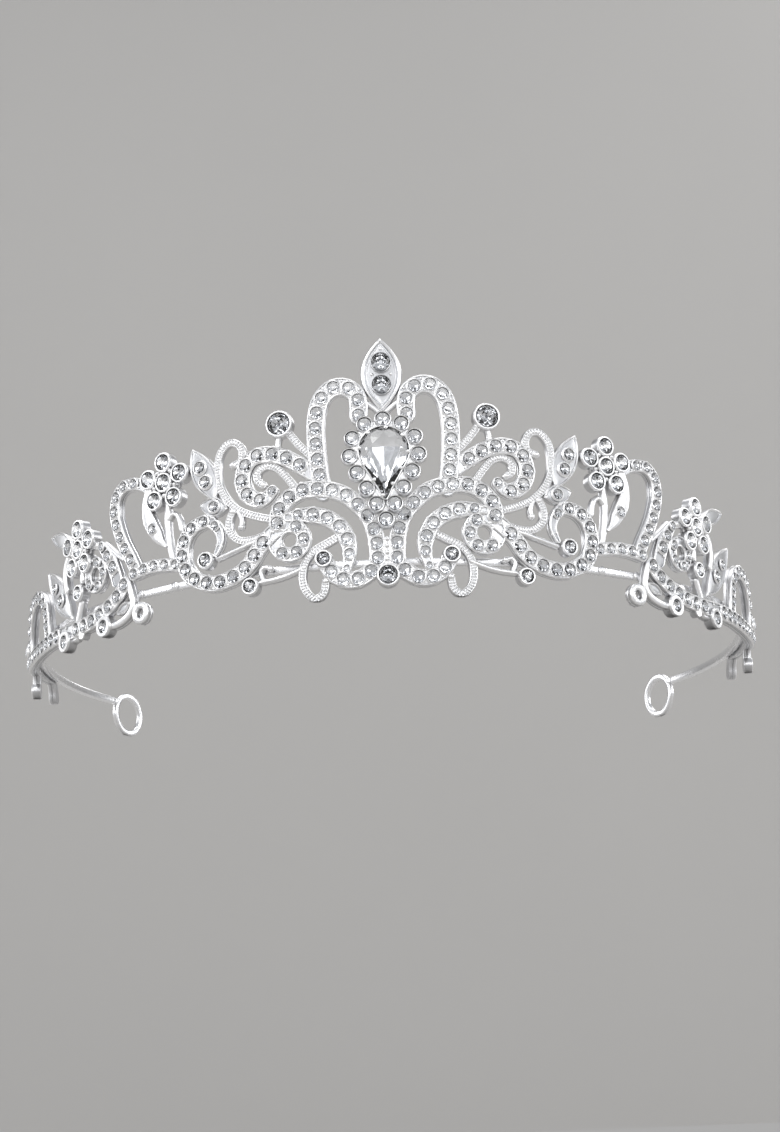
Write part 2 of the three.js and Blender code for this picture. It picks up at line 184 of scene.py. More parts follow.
def foilLook(name, darkTone, bright):
    look = Look(name)
    return look.finish(look.node("ShaderNodeBsdfPrincipled", {}, {
        "Base Color": look.mix(look.noise(900.0), darkTone, bright),
        "Metallic": 1.0,
        "Roughness": 0.04 + look.noise(500.0) * 0.06,
    }))


def crystalLook(name, tint, ior):
    look = Look(name)
    return look.finish(look.node("ShaderNodeBsdfPrincipled", {}, {
        "Base Color": look.mix(look.noise(350.0), tint, (1.0, 1.0, 1.0, 1)),
        "Roughness": look.noise(700.0) * 0.03,
        "IOR": ior,
        "Transmission Weight": 1.0,
    }))


def paperLook(name, tone):
    # one-sided, so that the low camera sees the object through it
    look = Look(name)
    paper = look.node("ShaderNodeBsdfPrincipled", {}, {
        "Base Color": look.mix(look.noise(6.0), (*tone, 1), (*[0.96 * c for c in tone], 1)),
        "Roughness": 0.8,
    })
    return look.finish(look.node("ShaderNodeMixShader", {}, {
        0: look.node("ShaderNodeNewGeometry", out="Backfacing"),
        1: paper,
        2: look.node("ShaderNodeBsdfTransparent"),
    }))


# polished tone, tone in the corners (painted shade in hollows and creases), roughness, height of
# the fine grain
silvers = {
    "brightSilver": ((0.98, 0.98, 0.985, 1), (0.5, 0.51, 0.53, 1), 0.31, 0.00003),
    # a dark copy of the silver for pocket floors and inner walls: painted shade in the recesses
    "shadedRecessSilver": ((0.44, 0.44, 0.46, 1), (0.14, 0.14, 0.15, 1), 0.34, 0.00005),
    # a darker copy for side walls and backs: painted shade
    "shadedWallSilver": ((0.66, 0.66, 0.67, 1), (0.3, 0.3, 0.31, 1), 0.3, 0.00003),
    "bandSilver": ((0.9, 0.9, 0.91, 1), (0.5, 0.5, 0.52, 1), 0.26, 0.00002),
}
*castSilver, bandSilver = [silverLook(name, *values) for name, values in silvers.items()]
# both extra slots hold painted-shade copies of the silver
recessSlot, wallSlot = 1, 2  # places in castSilver
stoneFoil = foilLook("stoneFoil", (0.8, 0.81, 0.83, 1), (1.0, 1.0, 1.0, 1))
pearFoil = foilLook("pearFoil", (0.85, 0.86, 0.88, 1), (1.0, 1.0, 1.0, 1))
clearCrystal = crystalLook("clearCrystal", (0.93, 0.95, 0.98, 1), 1.6)
pearCrystal = crystalLook("pearCrystal", (0.96, 0.97, 0.99, 1), 1.58)


def makePaper(name, place, tilt):
    shape = bmesh.new()
    bmesh.ops.create_grid(shape, x_segments=4, y_segments=4, size=studio["paperSize"])
    turn = Matrix.Rotation(math.radians(tilt), 4, "X")
    bmesh.ops.transform(shape, matrix=Matrix.Translation(place) @ turn, verts=shape.verts)
    mesh = bpy.data.meshes.new(name)
    shape.to_mesh(mesh)
    shape.free()
    mesh.materials.append(paperLook(name, studio["paper"]))
    paper = bpy.data.objects.new(name, mesh)
    bpy.context.collection.objects.link(paper)


makePaper("studioFloor", (0, 0, -0.0002), 0)
makePaper("studioBackdrop", (0, 1.1, 0.6), 90)

world = bpy.data.worlds.new("studioWorld")
world.use_nodes = True
background = world.node_tree.nodes["Background"]
background.inputs["Color"].default_value = (*studio["world"], 1)
background.inputs["Strength"].default_value = 1.0
bpy.context.scene.world = world
bpy.context.scene.view_settings.view_transform = "Standard"

for azimuth in studio["fan"]:
    a = math.radians(azimuth)
    makeSoftbox(f"frontBox{azimuth}", (
        studio["fanReach"] * math.sin(a),
        studio["middle"][1] - studio["fanReach"] * math.cos(a),
        studio["fanHeight"],
    ), studio["fanBox"], studio["fanPower"])
for name, (place, size, power) in studio["boxes"].items():
    makeSoftbox(name, place, size, power)
print("studio ready")


class Line:
    # a smooth line through flat points, read by the distance along it
    def __init__(self, points, closed=False):
        flat = [Vector((x, y, 0)) for x, y in points]
        count = len(flat)
        spans = count if closed else count - 1

        def pick(i):
            return flat[i % count] if closed else flat[min(max(i, 0), count - 1)]

        self.points = []
        for i in range(spans):
            a, b, c, d = (pick(i + k) for k in (-1, 0, 1, 2))
            self.points += interpolate_bezier(b, b + (c - a) / 6, c - (d - b) / 6, c, 17)[:-1]
        self.points.append(pick(spans).copy())
        self.reach = [0.0]
        for p, q in zip(self.points, self.points[1:]):
            self.reach.append(self.reach[-1] + (q - p).length)
        self.length = self.reach[-1]
        self.closed = closed

    def point(self, s):
        if self.closed:
            s %= self.length
        i = min(max(bisect_right(self.reach, s) - 1, 0), len(self.points) - 2)
        p, q = self.points[i], self.points[i + 1]
        return p + (q - p) * ((s - self.reach[i]) / (self.reach[i + 1] - self.reach[i]))

    def at(self, s):
        direction = (self.point(s + 0.2) - self.point(s - 0.2)).normalized()
        return self.point(s), Vector((-direction.y, direction.x, 0))


def widthAlong(widths):
    def half(share):
        place = min(max(share, 0), 1) * (len(widths) - 1)
        i = min(int(place), len(widths) - 2)
        if i < 0:
            return widths[0] / 2
        return (widths[i] + (widths[i + 1] - widths[i]) * (place - i)) / 2
    return half


def crossSection(half, profile):
    # one side of the section; what doesn't fit into a narrow end is pulled in to the middle
    side = []
    level = profile[0][1]
    for inset, z in profile:
        reach = 0.0 if inset is None else half - inset
        if reach > 0 or (inset is None and (not side or side[-1][0] > 0)):
            level = z
        side.append((max(reach, 0.0), level))
    return side + [(-u, z) for u, z in reversed(side[:-1])]


def addShape(piece, shape):
    bmesh.ops.recalc_face_normals(shape, faces=shape.faces)
    mesh = bpy.data.meshes.new("shape")
    shape.to_mesh(mesh)
    shape.free()
    piece.from_mesh(mesh)
    bpy.data.meshes.remove(mesh)


def addCopy(piece, template, place, scale, turn=0.0):
    copy = template.copy()
    copy.transform(Matrix.Translation(place) @ Matrix.Rotation(turn, 4, "Z")
                   @ Matrix.Diagonal((*scale, 1)))
    piece.from_mesh(copy)
    bpy.data.meshes.remove(copy)


def shadeWalls(shape, top):
    # backs and side walls take the darker wall silver: painted shade, to set them off from the
    # front
    for face in shape.faces:
        low = face.calc_center_median().z < top
        if face.material_index == 0 and face.normal.z < 0.4 and low:
            face.material_index = wallSlot


def sweep(piece, line, half, profile, step=0.9, roundEnds=True, lift=0.0, wallTop=None):
    shape = bmesh.new()
    count = max(6, round(line.length / step))
    stations = [(line.length * i / count, half(i / count)) for i in range(count + 1)]
    if roundEnds and not line.closed:
        start, end = half(0), half(1)
        turns = [math.radians(a) for a in (0, 20, 42, 66)]
        stations = (
            [(-start * math.cos(a), start * math.sin(a)) for a in turns]
            + stations
            + [(line.length + end * math.cos(a), end * math.sin(a)) for a in reversed(turns)]
        )
    rows = []
    for s, reach in stations:
        point, across = line.at(s)
        rows.append([point + across * u + Vector((0, 0, z + lift))
                     for u, z in crossSection(max(reach, 0.02), profile)])
    last, wide = len(rows) - 1, len(rows[0]) - 1
    for v in bmesh.ops.create_grid(shape, x_segments=wide, y_segments=last, size=1)["verts"]:
        v.co = rows[round((v.co.y + 1) / 2 * last)][round((v.co.x + 1) / 2 * wide)]
    bmesh.ops.remove_doubles(shape, verts=shape.verts, dist=0.004)
    bmesh.ops.holes_fill(shape, edges=[e for e in shape.edges if e.is_boundary], sides=0)
    bmesh.ops.recalc_face_normals(shape, faces=shape.faces)
    # walls below wallTop get the painted-shade wall silver
    if wallTop:
        shadeWalls(shape, wallTop)
    addShape(piece, shape)


def spun(profile, sides, recessRadius=0.0):
    # a turned shape round z; faces inside recessRadius that look inwards get the dark silver,
    # painted shade in the recess
    shape = bmesh.new()
    verts = [shape.verts.new((r, 0, z)) for r, z in profile]
    edges = [shape.edges.new(pair) for pair in zip(verts, verts[1:])]
    bmesh.ops.spin(shape, geom=verts + edges, cent=(0, 0, 0), axis=(0, 0, 1),
                   angle=math.tau, steps=sides, use_merge=True)
    bmesh.ops.remove_doubles(shape, verts=shape.verts, dist=0.002)
    bmesh.ops.recalc_face_normals(shape, faces=shape.faces)
    for face in shape.faces:
        centre = face.calc_center_median()
        if centre.xy.length < recessRadius and face.normal.z > -0.2:
            face.material_index = recessSlot
    return shape


def keepTemplate(shape, name):
    mesh = bpy.data.meshes.new(name)
    shape.to_mesh(mesh)
    shape.free()
    return mesh


def cutStone(rings, girdle):
    # facets are the hull round rings of points: (points, turn in steps, radius, height)
    shape = bmesh.new()
    for count, turn, radius, height in rings:
        spin = Matrix.Rotation(math.tau * turn / count, 4, "Z")
        bmesh.ops.create_circle(shape, segments=count, radius=radius,
                                matrix=Matrix.Translation((0, 0, height)) @ spin)
    return facets(shape, girdle)


def facets(shape, girdle):
    hull = bmesh.ops.convex_hull(shape, input=shape.verts)
    spare = {g for g in hull["geom_interior"] + hull["geom_unused"]}
    bmesh.ops.delete(shape, geom=[g for g in spare if isinstance(g, bmesh.types.BMVert)],
                     context="VERTS")
    bmesh.ops.delete(shape, geom=[e for e in shape.edges if not e.link_faces], context="EDGES")
    bmesh.ops.dissolve_limit(shape, angle_limit=math.radians(2), verts=shape.verts,
                             edges=shape.edges)
    bmesh.ops.recalc_face_normals(shape, faces=shape.faces)
    for face in shape.faces:
        face.material_index = int(face.calc_center_median().z < girdle)
    return shape


def makePiece(name, shape, materials, nodes=(), smooth=True):
    for v in shape.verts:
        v.co.y = max(v.co.y, plan["restLevel"])  # the feet are filed flat
        angle = v.co.x / plan["arcRadius"]
        radius = plan["backRadius"] + v.co.z
        v.co = Vector((
            radius * math.sin(angle),
            plan["centreY"] - radius * math.cos(angle),
            v.co.y + plan["baseLevel"],
        )) / 1000
    mesh = bpy.data.meshes.new(name)
    shape.to_mesh(mesh)
    shape.free()
    for material in materials:
        mesh.materials.append(material)
    if smooth:
        mesh.shade_smooth()
        mesh.set_sharp_from_angle(angle=math.radians(38))
    piece = bpy.data.objects.new(name, mesh)
    bpy.context.collection.objects.link(piece)
    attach(piece, "root")
    if nodes:
        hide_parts(*nodes)
    return piece


# Sections, from the middle of the back round one side to the middle of the front:
# (distance in from the edge, height), None for the middle line.
sections = {
    "pave": [(None, 0), (0.14, 0), (0, 0.14), (0, 0.68), (0.14, 0.76), (0.14, 0.94), (0, 1.02),
             (0, 1.6), (0.09, 1.76), (0.22, 1.82), (0.38, 1.78), (0.44, 1.46), (None, 1.45)],
    "plain": [(None, 0), (0.14, 0), (0, 0.14), (0, 0.68), (0.13, 0.76), (0.13, 0.94), (0, 1.02),
              (0, 1.5), (0.12, 1.72), (0.4, 1.84), (None, 1.9)],
    "wire": [(None, 0), (0.12, 0), (0, 0.15), (0, 0.95), (0.1, 1.22), (0.32, 1.44), (None, 1.52)],
    "beaded": [(None, 0), (0.12, 0), (0, 0.12), (0, 1.15), (0.08, 1.34), (0.18, 1.38),
               (0.28, 1.3), (None, 1.28)],
    "leaf": [(None, 0), (0.14, 0), (0, 0.14), (0, 1.3), (0.14, 1.66), (0.32, 1.76),
             (0.5, 1.66), (0.6, 1.46), (None, 1.56)],
    "finial": [(None, 0), (0.15, 0), (0, 0.15), (0, 1.2), (0.25, 1.74), (0.6, 1.86), (0.85, 1.74),
               (0.98, 1.42), (1.16, 1.42), (1.24, 1.6), (1.36, 1.6), (1.44, 1.42), (None, 1.5)],
    "band": [(None, -1.5), (0.2, -1.5), (0.05, -1.43), (0, -1.3), (0, -0.5), (0.05, -0.37),
             (0.2, -0.3), (None, -0.3)],
    "endRing": [(None, -1.5), (0.35, -1.5), (0.12, -1.4), (0, -1.15), (0, -0.65), (0.12, -0.4),
                (0.35, -0.3), (None, -0.3)],
}

stoneShape = {
    "paveRadius": 1.27,
    "pitch": 3.12,
    "table": 0.58,
    "crown": 0.38,     # times the radius
    "pavilion": 0.26,
    "paveGirdle": 1.9,
    "seatGirdle": 2.25,
    "strapHalf": 1.75,  # a strap this wide takes the full stone
    "smallest": 0.65,
    "rim": 0.62,        # metal round a seated stone
    "play": 0.1,
}


def paveStone():
    return cutStone([
        (8, 0, stoneShape["table"], stoneShape["crown"]),
        (8, 0.5, 1.0, 0.04),
        (8, 0.5, 1.0, -0.04),
        (8, 0, 0.5, -0.5 * stoneShape["pavilion"] - 0.03),
        (8, 0.5, 0.1, -stoneShape["pavilion"]),
    ], 0.0)


def brilliantStone():
    return cutStone([
        (8, 0, stoneShape["table"], stoneShape["crown"]),
        (8, 0.5, 0.84, 0.24),
        (16, 0, 1.0, 0.04),
        (16, 0, 1.0, -0.04),
        (8, 0.5, 0.62, -0.24),
        (8, 0, 0.1, -0.48),
    ], 0.0)


def collar():
    # thin ring of metal pushed over a pave stone, for a stone of radius 1; its inner wall gets the
    # dark recess silver, a painted shadow ring round the stone
    return spun([(1.05, -0.42), (1.2, -0.42), (1.42, -0.3), (1.42, -0.17), (1.28, -0.12),
                 (1.22, 0.0), (1.14, 0.05), (1.05, 0.01), (1.03, -0.1), (1.05, -0.42)], 14,
                recessRadius=1.06)


def bead():
    shape = bmesh.new()
    bmesh.ops.create_uvsphere(shape, u_segments=8, v_segments=5, radius=1)
    return shape


templates = {
    "pave": keepTemplate(paveStone(), "paveTemplate"),
    "brilliant": keepTemplate(brilliantStone(), "brilliantTemplate"),
    "collar": keepTemplate(collar(), "collarTemplate"),
    "bead": keepTemplate(bead(), "beadTemplate"),
}


def onSide(side, points):
    return [(side * x, y) for x, y in points]


class Casting:
    # collects the metal and the small stones of one casting
    def __init__(self):
        self.metal = bmesh.new()
        self.stones = bmesh.new()
        self.taken = []   # (place, radius) of every stone so far
        self.count = 0

    def lift(self):
        self.count += 1
        return 0.02 * (self.count % 6)  # keeps crossing straps from lying in one plane

    def bead(self, place, radius, height, squash=1.0):
        addCopy(self.metal, templates["bead"], (place.x, place.y, height),
                (radius, radius, radius * squash))

    def isFree(self, place, radius):
        return all((place - other).length > radius + size for other, size in self.taken)

    def setStone(self, place, radius, girdle):
        self.taken.append((place.copy(), radius + 0.25))
        centre = (place.x, place.y, girdle)
        addCopy(self.stones, templates["pave"], centre, (radius * 0.96,) * 3)
        addCopy(self.metal, templates["collar"], centre, (radius, radius, radius))

    def paveStrap(self, points, widths, first=0.0, closed=False):
        line = Line(points, closed)
        half = widthAlong(widths)
        lift = self.lift()
        sweep(self.metal, line, half, sections["pave"], lift=lift, wallTop=1.6)
        count = max(1, round((line.length - first) / stoneShape["pitch"]))
        pitch = (line.length - first) / count
        girdle = stoneShape["paveGirdle"] + lift
        for i in range(count + (0 if closed else 1)):
            s = first + pitch * i
            place = line.point(s)
            reach = half(s / line.length)
            radius = stoneShape["paveRadius"] * min(reach / stoneShape["strapHalf"], 1.0)
            if radius > stoneShape["smallest"] and self.isFree(place, radius):
                self.setStone(place, radius, girdle)
            # two grains in the gaps before the next stone
            if i < count:
                gap, across = line.at(s + pitch / 2)
                for way in (-1, 1):
                    grain = gap + across * way * reach * 0.62
                    if self.isFree(grain, 0.1):
                        self.bead(grain, 0.34, girdle - 0.32, squash=0.7)

    def plainStrap(self, points, widths):
        line = Line(points)
        half = widthAlong(widths)
        sweep(self.metal, line, half, sections["plain"], lift=self.lift(), wallTop=1.5)

    def wire(self, points, width=1.2, ball=0.0):
        line = Line(points)
        sweep(self.metal, line, widthAlong([width]), sections["wire"], lift=self.lift(),
              wallTop=0.9)
        if ball:
            self.bead(line.point(line.length), ball, 0.95)

    def beadedWire(self, points, width=1.65, ball=0.9):
        line = Line(points)
        lift = self.lift()
        sweep(self.metal, line, widthAlong([width]), sections["beaded"], step=0.7, lift=lift,
              wallTop=1.1)
        count = round(line.length / 0.62)
        for i in range(count + 1):
            place, across = line.at(line.length * i / count)
            addCopy(self.metal, templates["bead"], (place.x, place.y, 1.2 + lift),
                    (width / 2 - 0.12, 0.3, 0.4), math.atan2(across.y, across.x))
        self.bead(line.point(line.length), ball, 0.95)

    def leaf(self, base, tip, halfWidth, section="leaf", stones=()):
        start, end = Vector(base), Vector(tip)
        line = Line([start.lerp(end, i / 4) for i in range(5)])
        lift = self.lift()
        sweep(self.metal, line, lambda t: 4 * halfWidth * t * (1 - t), sections[section],
              step=0.5, roundEnds=False, lift=lift, wallTop=1.3)
        for place, radius in stones:
            self.setStone(Vector((*place, 0)), radius, 2.0 + lift)

    def ring(self, centre, outer, inner, pave=False):
        radius = (outer + inner) / 2
        points = [(centre[0] + radius * math.cos(math.tau * i / 12),
                   centre[1] + radius * math.sin(math.tau * i / 12)) for i in range(12)]
        if pave:
            self.paveStrap(points, [outer - inner], closed=True)
        else:
            sweep(self.metal, Line(points, closed=True), widthAlong([outer - inner]),
                  sections["plain"], lift=self.lift(), wallTop=1.5)

    def seat(self, place, stoneRadius, outer=None, back=0.0, floor=1.25, top=2.5):
        edge = outer or stoneRadius + stoneShape["rim"]
        pocket = stoneRadius + stoneShape["play"]
        shape = spun([
            (0, back), (edge - 0.14, back), (edge, back + 0.14), (edge, top - 0.55),
            (edge - 0.06, top - 0.22), (edge - 0.2, top - 0.03), (pocket + 0.18, top),
            (pocket + 0.03, top - 0.07), (pocket, top - 0.22), (pocket - 0.06, floor), (0, floor),
        ], 20, recessRadius=pocket + 0.01)
        # the pocket takes the dark recess silver and the outer wall the wall silver: painted shade
        shadeWalls(shape, back + 1.7)
        bmesh.ops.translate(shape, vec=(place[0], place[1], 0), verts=shape.verts)
        addShape(self.metal, shape)
        self.taken.append((Vector((*place, 0)), stoneRadius + 0.25))

    def disc(self, place, radius, height):
        shape = spun([(0, 0), (radius - 0.1, 0), (radius, 0.12), (radius, height - 0.2),
                      (radius - 0.15, height), (0, height)], 20)
        # painted shade on the disc's side wall
        shadeWalls(shape, 1.7)
        bmesh.ops.translate(shape, vec=(place[0], place[1], 0), verts=shape.verts)
        addShape(self.metal, shape)


def makeStone(name, place, radius, girdle):
    shape = bmesh.new()
    addCopy(shape, templates["brilliant"], (place[0], place[1], girdle), (radius,) * 3)
    makePiece(name + "_crystal", shape, [clearCrystal, stoneFoil], [name],
              smooth=False)


centreMiddle = {
    "finial": ((0, 36.9), (0, 52.5), 4.3),
    "finialStones": {"finial_stone_lower": (0, 42.4), "finial_stone_upper": (0, 47.2)},
    "finialRadius": 1.8,
    "finialDots": [(1.9, 44.8), (-1.9, 44.8), (0, 50.2)],
    "pendant": {"pendant_stone": (0, 2.6)},
    "pendantRadius": 1.8,
    "columnFoot": ([(0, 5.6), (0, 7.4), (0, 9)], [2.6]),
    "columnDots": [(0, 5.9), (0, 7.3), (0, 8.7), (0, 10.1)],
}

centreSide = {
    "pave": [
        # column that opens into the arch
        ([(1.9, 6.2), (2.1, 9.8), (2.7, 12.8), (3.9, 15.5), (5.9, 17.8), (8.4, 19.9), (11.3, 21),
          (14.5, 21.4), (17.4, 21.2), (20.2, 19.7), (22.1, 17.3), (22.3, 15)], [3.5]),
        # diagonal, bottom sweep and ring scroll
        ([(20.6, 15.2), (22.3, 14), (24.5, 12.2), (26.6, 10), (28.4, 7.5), (30.7, 5.7),
          (33.6, 4.6), (36.8, 4.3), (39.8, 5.2), (42.4, 6.9), (43.8, 9.7), (43.9, 12.7),
          (42.8, 15.4), (40.5, 17.2), (37.4, 17.4), (35.4, 15.3), (34.9, 12.9), (35.9, 10.6)],
         [3.5, 3.5, 3.5, 3.5, 3.0, 1.2]),
        # tall loop beside the pear stone
        ([(12.7, 20.8), (13.2, 24.4), (13.6, 28), (13.8, 31.4), (13.8, 34.5), (13.4, 37.5),
          (12.4, 40.3), (10.2, 42.3), (7.4, 42.4), (5.3, 40.7), (4.8, 38.4), (4.9, 36.2)],
         [3.8], 3.5),
        # inner scroll under the arch
        ([(21, 15.9), (18.5, 16.3), (15.8, 16.2), (12.7, 15.5), (9.9, 13.7), (8.2, 11.1),
          (7.6, 8), (8.3, 4.4)], [1.6, 3.5, 3.5, 3.5, 1.8]),
        # bottom border
        ([(3.4, 3.6), (6.1, 2.1), (9, 2.2), (11.4, 3.9), (12.9, 6.7)], [3.5]),
        # C scroll
        ([(14.6, 24.9), (16.5, 26.2), (18.9, 27.8), (21.9, 29.3), (25, 29.8), (27.7, 29.1),
          (29.3, 26.9), (29.6, 23.9), (28.1, 21.3), (25.3, 20.3), (23.2, 21.9)],
         [3.5, 3.5, 3.5, 3.5, 3.5, 3.5, 3.5, 2.4]),
    ],
    "paveRings": [((19.9, 11.3), 4.6, 1.5)],
    "beaded": [
        [(19.4, 33.6), (17.4, 31), (15, 28.5)],
        [(18.1, 21.6), (20.1, 24.4), (22.1, 26.6), (24.4, 27.4), (26.3, 26.4), (26.5, 24.6),
         (25.3, 23.5)],
        [(22.6, 15.9), (26.5, 17), (30.2, 18.6), (33.2, 21.2), (35.1, 24.6), (35.5, 28.2),
         (34.8, 31.4), (32.9, 33.3), (30.9, 33), (29.8, 31.3), (30.1, 29.3), (31.9, 28.5)],
        [(24.8, 13.2), (27.8, 12.4), (30.8, 12.6), (32.8, 14.4), (33.1, 16.7), (32.2, 18.8)],
        [(9.2, 11.5), (12.3, 10), (15, 8.6), (16.9, 6.2), (17.5, 3.2), (16.9, 0.5), (15, -1.3),
         (13.2, -0.2), (12.7, 2.2)],
    ],
    "wires": [
        ([(4, 39.6), (2, 38), (0, 36.2)], 1.2, 0),
        ([(21.6, 33.0), (21.9, 32), (22, 30.5)], 1.2, 0),
        ([(30.8, 18.4), (30.2, 16.8), (30.4, 15.3)], 1.2, 0.8),
        ([(25.5, 12.5), (30.6, 11), (35.9, 9.5)], 1.2, 0),
        ([(17, 5.4), (20, 4.3), (23, 3.6), (26.4, 3.3)], 1.2, 0),
        ([(25.8, 3.7), (26.4, 5.2), (25.6, 6.4), (24.3, 5.9)], 1.2, 0.8),
    ],
    "leaves": [
        ((35.8, 21.4), (41.3, 33.5), 2.8, [((39.3, 29), 1.2), ((38.1, 25.8), 1.2)]),
        ((33.2, 19.6), (39.8, 21.2), 2.2, [((36.2, 20.3), 1.05)]),
    ],
    "stones": {
        "ball_stone": ((21.3, 35.7), 2.25),
        "border_stone": ((12.9, 6.7), 1.25),
        "foot_stone": ((28.4, 2.5), 1.25),
        "ring_stone": ((38.3, 9.3), 1.25),
    },
}


def drawSide(casting, drawing, side):
    for name, (place, radius) in drawing.get("stones", {}).items():
        (place,) = onSide(side, [place])
        casting.seat(place, radius, outer=drawing.get("seatEdges", {}).get(name))
        makeStone(f"{name}_{'right' if side > 0 else 'left'}", place, radius,
                  stoneShape["seatGirdle"])
    for points, widths, *first in drawing.get("pave", []):
        casting.paveStrap(onSide(side, points), widths, *first)
    for points, widths in drawing.get("plain", []):
        casting.plainStrap(onSide(side, points), widths)
    for points in drawing.get("beaded", []):
        casting.beadedWire(onSide(side, points))
    for points, width, ball in drawing.get("wires", []):
        casting.wire(onSide(side, points), width, ball)
    for base, tip, halfWidth, stones in drawing.get("leaves", []):
        base, tip = onSide(side, [base, tip])
        casting.leaf(base, tip, halfWidth,
                     stones=[(onSide(side, [place])[0], radius) for place, radius in stones])
    for place, radius in drawing.get("collars", []):
        casting.setStone(Vector((*onSide(side, [place])[0], 0)), radius, 2.2)
    for centre, outer, inner in drawing.get("rings", []):
        casting.ring(onSide(side, [centre])[0], outer, inner)
    for centre, outer, inner in drawing.get("paveRings", []):
        casting.ring(onSide(side, [centre])[0], outer, inner, pave=True)


def drawFlower(casting, name, centre, side, radius=1.55, reach=4.3, turn=90):
    end = "right" if side > 0 else "left"
    (centre,) = onSide(side, [centre])
    casting.disc(centre, reach * 0.8, 1.0)
    places = {f"{name}_centre_stone": centre}
    for i in range(5):
        angle = math.radians(turn + 72 * i)
        places[f"{name}_petal_stone_{i + 1}"] = (
            centre[0] + side * reach * math.cos(angle), centre[1] + reach * math.sin(angle))
    for stoneName, place in places.items():
        casting.seat(place, radius)
        makeStone(f"{stoneName}_{end}", place, radius, stoneShape["seatGirdle"])
    # grains in the corners between the petals
    for i in range(5):
        angle = math.radians(turn + 36 + 72 * i)
        corner = Vector((centre[0] + side * 2.75 * math.cos(angle),
                         centre[1] + 2.75 * math.sin(angle), 0))
        casting.bead(corner, 0.5, 1.9)


def makeCentreCasting():
    casting = Casting()
    middle = centreMiddle
    base, tip, halfWidth = middle["finial"]
    casting.leaf(base, tip, halfWidth, "finial")
    for name, place in middle["finialStones"].items():
        casting.seat(place, middle["finialRadius"], outer=middle["finialRadius"] + 0.36, back=1.0,
                     floor=1.3, top=2.3)
        makeStone(name, place, middle["finialRadius"], stoneShape["seatGirdle"])
    for place in middle["finialDots"]:
        casting.bead(Vector((*place, 0)), 0.42, 1.35)
    for name, place in middle["pendant"].items():
        casting.seat(place, middle["pendantRadius"])
        makeStone(name, place, middle["pendantRadius"], stoneShape["seatGirdle"])
    for side in (1, -1):
        drawSide(casting, centreSide, side)
    casting.plainStrap(*middle["columnFoot"])
    for place in middle["columnDots"]:
        casting.bead(Vector((*place, 0)), 0.55, 1.9, squash=0.8)
    makePiece("centre_scrollwork", casting.metal, castSilver,
              ["centre_casting"])
    makePiece("centre_pave_stones", casting.stones, [clearCrystal, stoneFoil],
              smooth=False)
    print("centre casting ready")


pear = {
    "width": 9.6, "length": 14.8, "top": 32.6,
    "back": 2.1, "plateHeight": 0.8,
    "haloReach": 2.0, "haloCount": 14, "haloRadius": 1.32, "scallopRadius": 1.8,
    "girdle": 4.75, "tableHeight": 6.7, "pavilion": 3.5, "prongs": 10,
}


def pearPoints(grow, count=18):
    radius = pear["width"] / 2
    centre = pear["top"] - radius
    touch = math.asin(radius / (pear["length"] - radius))
    arc = [-touch + (math.pi + 2 * touch) * i / count for i in range(count + 1)]
    points = [((radius + grow) * math.cos(a), centre + (radius + grow) * math.sin(a)) for a in arc]
    tip = centre - (radius + grow) / math.sin(touch)
    first, last = points[0], points[-1]
    for start, end in ((last, (0, tip)), ((0, tip), first)):
        for i in (1, 2, 3) if end[0] == 0 else (1, 2):
            share = i / 3
            points.append((start[0] + (end[0] - start[0]) * share,
                           start[1] + (end[1] - start[1]) * share))
    return points


def pearRing(shape, grow, count, turn, height):
    line = Line(pearPoints(grow, 24), closed=True)
    tipAt = min(range(len(line.points)), key=lambda i: line.points[i].y)
    start = line.reach[tipAt]
    for i in range(count):
        place = line.point(start + line.length * (i + turn) / count)
        shape.verts.new((place.x, place.y, height))


def makePearSetting():
    casting = Casting()
    wall = [(None, pear["back"]), (0.12, pear["back"]), (0, 2.25), (0, 3.4), (0.12, 3.55),
            (None, 3.6)]
    sweep(casting.metal, Line(pearPoints(1.0), closed=True), widthAlong([1.7]), wall,
          wallTop=3.3)
    bezel = [(None, 3.2), (0, 3.25), (0, 4.7), (0.06, 4.95), (None, 5.0)]
    sweep(casting.metal, Line(pearPoints(0.24), closed=True), widthAlong([0.34]), bezel)
    # plate behind the stone
    plate = bmesh.new()
    rim = [plate.verts.new((x, y, pear["back"])) for x, y in pearPoints(0.6)]
    face = plate.faces.new(rim)
    made = bmesh.ops.extrude_face_region(plate, geom=[face])["geom"]
    bmesh.ops.translate(plate, vec=(0, 0, pear["plateHeight"]),
                        verts=[g for g in made if isinstance(g, bmesh.types.BMVert)])
    bmesh.ops.recalc_face_normals(plate, faces=plate.faces)
    # painted shade on the plate's back and side walls
    shadeWalls(plate, pear["back"] + pear["plateHeight"])
    addShape(casting.metal, plate)
    edge = Line(pearPoints(-0.1, 24), closed=True)
    for i in range(pear["prongs"]):
        place = edge.point(edge.length * (i + 0.5) / pear["prongs"])
        casting.bead(place, 0.42, 5.1, squash=0.7)
    outline = Line(pearPoints(pear["haloReach"], 24), closed=True)
    tipAt = outline.reach[min(range(len(outline.points)), key=lambda i: outline.points[i].y)]
    for i in range(pear["haloCount"]):
        place = outline.point(tipAt + outline.length * i / pear["haloCount"])
        casting.seat((place.x, place.y), pear["haloRadius"], outer=pear["scallopRadius"],
                     back=pear["back"], floor=3.1, top=4.3)
        addCopy(casting.stones, templates["pave"], (place.x, place.y, 4.1),
                (pear["haloRadius"],) * 3)
    makePiece("pear_halo", casting.metal, castSilver,
              ["pear_setting"])
    makePiece("halo_stones", casting.stones, [clearCrystal, stoneFoil],
              smooth=False)
    print("pear setting ready")


